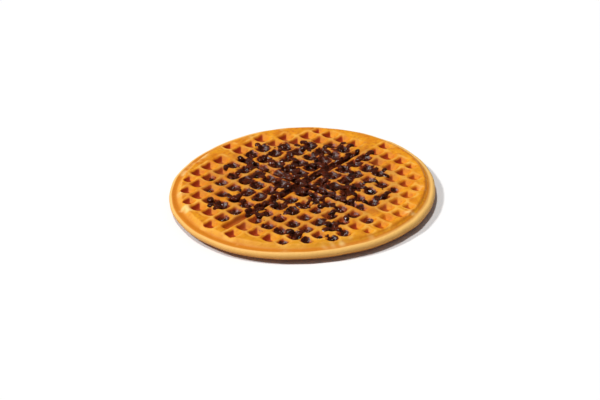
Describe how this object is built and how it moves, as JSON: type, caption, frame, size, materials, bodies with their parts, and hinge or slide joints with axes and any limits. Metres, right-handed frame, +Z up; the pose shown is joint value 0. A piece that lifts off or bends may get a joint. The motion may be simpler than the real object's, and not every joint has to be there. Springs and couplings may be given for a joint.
{
  "type": "chocolate chip waffle",
  "caption": "Thin round waffle with a square pocket grid on both faces, a beaded edge and melted chocolate chips over the middle. Food for a plate, table or counter scene.",
  "frame": {"origin": "middle of the waffle's box, on the plane that its lower ribs stand on", "axes": "+Z up out of the face with the chocolate chips, -Y towards the picture's camera, +X to the camera's right; the grid is turned 46.8 degrees from +X"},
  "size_m": [0.1796, 0.1786, 0.0121],
  "materials": {
    "batter": "baked golden crust, darker in the pockets",
    "chocolate": "half-melted dark chocolate, glossy"
  },
  "bodies": {
    "root": {"waffle": "batter"}
  },
  "joints": []
}
